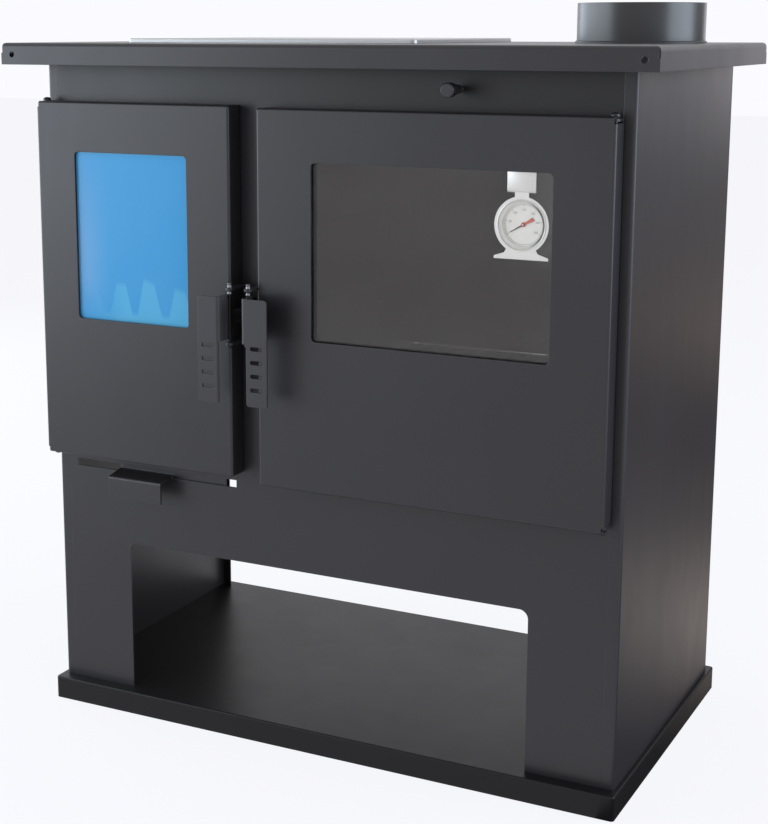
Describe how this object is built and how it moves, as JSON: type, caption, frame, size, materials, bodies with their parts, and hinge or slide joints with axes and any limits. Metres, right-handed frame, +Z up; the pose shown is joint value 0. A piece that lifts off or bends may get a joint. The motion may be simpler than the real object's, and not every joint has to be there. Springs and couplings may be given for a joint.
{
  "type": "wood cookstove",
  "caption": "Sheet-steel wood cookstove: glazed fire and oven doors, cooking top with lift-out ring, flue socket, air slider, damper and open wood store below.",
  "frame": {"origin": "on the floor, under the middle of the whole stove's bounding box", "axes": "+Z up, -Y towards the front with the doors, +X towards the oven's side"},
  "size_m": [0.82, 0.477, 0.897],
  "materials": {
    "charcoal_paint": "satin heat-resistant paint",
    "hob_iron": "machined flat, seasoned",
    "grate_iron": "as cast",
    "plate_steel": "raw rolled plate, dull",
    "inner_steel": "bare folded sheet",
    "oven_enamel": "dark enamel",
    "rack_wire": "plated wire",
    "firebrick": "rough fired clay",
    "pane": "clear ceramic glass",
    "woven_tape": "woven glass fibre",
    "rope": "braided glass fibre",
    "fixing_steel": "zinc plated",
    "stainless": "fine brushed stainless",
    "dial_face": "printed, matt",
    "pointer_red": "satin",
    "lens": "clear"
  },
  "bodies": {
    "casing": {"plinth": "charcoal_paint", "side_panel_left": "charcoal_paint", "side_panel_right": "charcoal_paint", "front_panel": "charcoal_paint", "back_panel": "charcoal_paint", "back_panel_screws": "fixing_steel", "top_plate": "charcoal_paint", "hob_plate": "hob_iron", "flue_collar": "charcoal_paint", "floor_plate": "plate_steel", "slider_guides": "inner_steel", "firebox_shell": "plate_steel", "firebrick_left": "firebrick", "firebrick_right": "firebrick", "firebrick_back": "firebrick", "grate": "grate_iron", "fire_guard": "plate_steel", "ash_pan": "inner_steel", "ash_pan_runners": "plate_steel", "smoke_covers": "plate_steel", "flue_baffles": "plate_steel", "damper_guides": "inner_steel", "oven_box": "oven_enamel", "oven_runners": "oven_enamel", "oven_rack": "rack_wire", "hinge_lugs": "charcoal_paint", "hinge_pins": "charcoal_paint", "latch_keeper": "charcoal_paint"},
    "fire_door_leaf": {"fire_door": "charcoal_paint", "fire_glass": "pane", "fire_glass_tape": "woven_tape", "fire_glass_frame": "inner_steel", "fire_glass_fixings": "fixing_steel", "fire_seal_channel": "inner_steel", "fire_rope_seal": "rope", "fire_door_shield": "inner_steel"},
    "oven_door_leaf": {"oven_door": "charcoal_paint", "oven_glass": "pane", "oven_glass_tape": "woven_tape", "oven_glass_frame": "inner_steel", "oven_glass_fixings": "fixing_steel", "oven_seal_channel": "inner_steel", "oven_rope_seal": "rope", "oven_door_shield": "inner_steel", "thermometer_stand": "stainless", "thermometer_case": "stainless", "thermometer_dial": "dial_face", "thermometer_lens": "lens"},
    "fire_catch": {"fire_handle": "charcoal_paint", "fire_latch": "charcoal_paint"},
    "oven_catch": {"oven_handle": "charcoal_paint", "oven_latch": "charcoal_paint"},
    "draught_slider": {"air_slider": "charcoal_paint"},
    "damper": {"damper_plate": "plate_steel", "damper_rod": "fixing_steel", "damper_nuts": "fixing_steel", "damper_knob": "charcoal_paint"},
    "pointer": {"thermometer_needle": "pointer_red"},
    "cooking_ring": {"hob_ring": "hob_iron"},
    "cooking_lid": {"hob_lid": "hob_iron"}
  },
  "joints": [
    {"name": "fire_door_hinge", "type": "hinge", "parent": "casing", "child": "fire_door_leaf", "pos_m": [-0.3675, -0.1915, 0.559], "axis": [0, 0, -1], "range_deg": [0, 115]},
    {"name": "oven_door_hinge", "type": "hinge", "parent": "casing", "child": "oven_door_leaf", "pos_m": [0.3558, -0.1915, 0.5555], "axis": [0, 0, 1], "range_deg": [0, 115]},
    {"name": "fire_latch_turn", "type": "hinge", "parent": "fire_door_leaf", "child": "fire_catch", "pos_m": [-0.0945, -0.2165, 0.537], "axis": [0, 0, 1], "range_deg": [0, 18]},
    {"name": "oven_latch_turn", "type": "hinge", "parent": "oven_door_leaf", "child": "oven_catch", "pos_m": [-0.0695, -0.2165, 0.537], "axis": [0, 0, -1], "range_deg": [0, 18]},
    {"name": "air_slide", "type": "slide", "parent": "casing", "child": "draught_slider", "axis": [1, 0, 0], "range_m": [-0.045, 0.055]},
    {"name": "damper_slide", "type": "slide", "parent": "casing", "child": "damper", "axis": [0, -1, 0], "range_m": [0, 0.08]},
    {"name": "pointer_turn", "type": "hinge", "parent": "oven_door_leaf", "child": "pointer", "pos_m": [0.257, -0.1915, 0.6604], "axis": [0, 1, 0], "range_deg": [0, 240], "stiffness_Nm_per_rad": 0.001},
    {"name": "ring_lift", "type": "slide", "parent": "casing", "child": "cooking_ring", "axis": [0, 0, 1], "range_m": [0, 0.06]},
    {"name": "lid_lift", "type": "slide", "parent": "cooking_ring", "child": "cooking_lid", "axis": [0, 0, 1], "range_m": [0, 0.06]}
  ]
}
